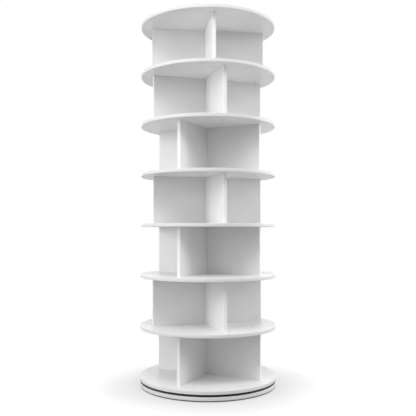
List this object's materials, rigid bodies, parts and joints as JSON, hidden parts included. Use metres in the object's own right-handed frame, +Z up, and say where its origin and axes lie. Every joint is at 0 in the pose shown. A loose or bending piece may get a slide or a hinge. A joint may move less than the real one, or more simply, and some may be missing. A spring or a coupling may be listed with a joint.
{
  "type": "rotating shoe tower",
  "caption": "Tall round shoe tower: crossed upright panels between round shelves, all turning together on a flat ball bearing over a fixed round base with rubber feet.",
  "frame": {"origin": "on the floor at the centre of the round base", "axes": "+Z up along the axis that the tower turns about; the side shown to the front faces -Y; +X to the right seen from the front"},
  "size_m": [0.5, 0.5, 1.331],
  "materials": {
    "white_board": "satin white melamine on fibreboard",
    "white_edging": "satin white edge banding",
    "screw_steel": "zinc plated, countersunk, cross recess",
    "dowel_beech": "plain beech",
    "bearing_aluminium": "satin anodised",
    "ball_steel": "polished bearing steel",
    "cage_nylon": "moulded black nylon",
    "foot_rubber": "moulded black rubber"
  },
  "bodies": {
    "base": {"base_feet": "foot_rubber", "base_plate": "white_board", "base_plate_edge_band": "white_edging", "bearing_inner_ring": "bearing_aluminium", "bearing_base_bolts": "screw_steel"},
    "ball_cage": {"bearing_balls": "ball_steel", "bearing_ball_cage": "cage_nylon"},
    "tower": {"bearing_outer_ring": "bearing_aluminium", "bearing_outer_screws": "screw_steel", "turntable_shelf": "white_board", "turntable_shelf_edge_band": "white_edging", "shelf_1": "white_board", "shelf_1_edge_band": "white_edging", "shelf_2": "white_board", "shelf_2_edge_band": "white_edging", "shelf_3": "white_board", "shelf_3_edge_band": "white_edging", "shelf_4": "white_board", "shelf_4_edge_band": "white_edging", "shelf_5": "white_board", "shelf_5_edge_band": "white_edging", "shelf_6": "white_board", "shelf_6_edge_band": "white_edging", "top_shelf": "white_board", "top_shelf_edge_band": "white_edging", "tier_1_long_panel": "white_board", "tier_1_front_divider": "white_board", "tier_1_rear_divider": "white_board", "tier_1_edge_bands": "white_edging", "tier_2_long_panel": "white_board", "tier_2_front_divider": "white_board", "tier_2_rear_divider": "white_board", "tier_2_edge_bands": "white_edging", "tier_3_long_panel": "white_board", "tier_3_front_divider": "white_board", "tier_3_rear_divider": "white_board", "tier_3_edge_bands": "white_edging", "tier_4_long_panel": "white_board", "tier_4_front_divider": "white_board", "tier_4_rear_divider": "white_board", "tier_4_edge_bands": "white_edging", "tier_5_long_panel": "white_board", "tier_5_front_divider": "white_board", "tier_5_rear_divider": "white_board", "tier_5_edge_bands": "white_edging", "tier_6_long_panel": "white_board", "tier_6_front_divider": "white_board", "tier_6_rear_divider": "white_board", "tier_6_edge_bands": "white_edging", "tier_7_long_panel": "white_board", "tier_7_front_divider": "white_board", "tier_7_rear_divider": "white_board", "tier_7_edge_bands": "white_edging", "shelf_screws_from_above": "screw_steel", "shelf_screws_from_below": "screw_steel", "divider_dowels": "dowel_beech"}
  },
  "joints": [
    {"name": "tower_spin", "type": "hinge", "parent": "base", "child": "tower", "pos_m": [0, 0, 0.02], "axis": [0, 0, 1], "continuous": true},
    {"name": "ball_cage_orbit", "type": "hinge", "parent": "base", "child": "ball_cage", "pos_m": [0, 0, 0.02], "axis": [0, 0, 1], "continuous": true}
  ],
  "couplings": [
    {"joint": "ball_cage_orbit", "follows": "tower_spin", "ratio": 0.5}
  ]
}
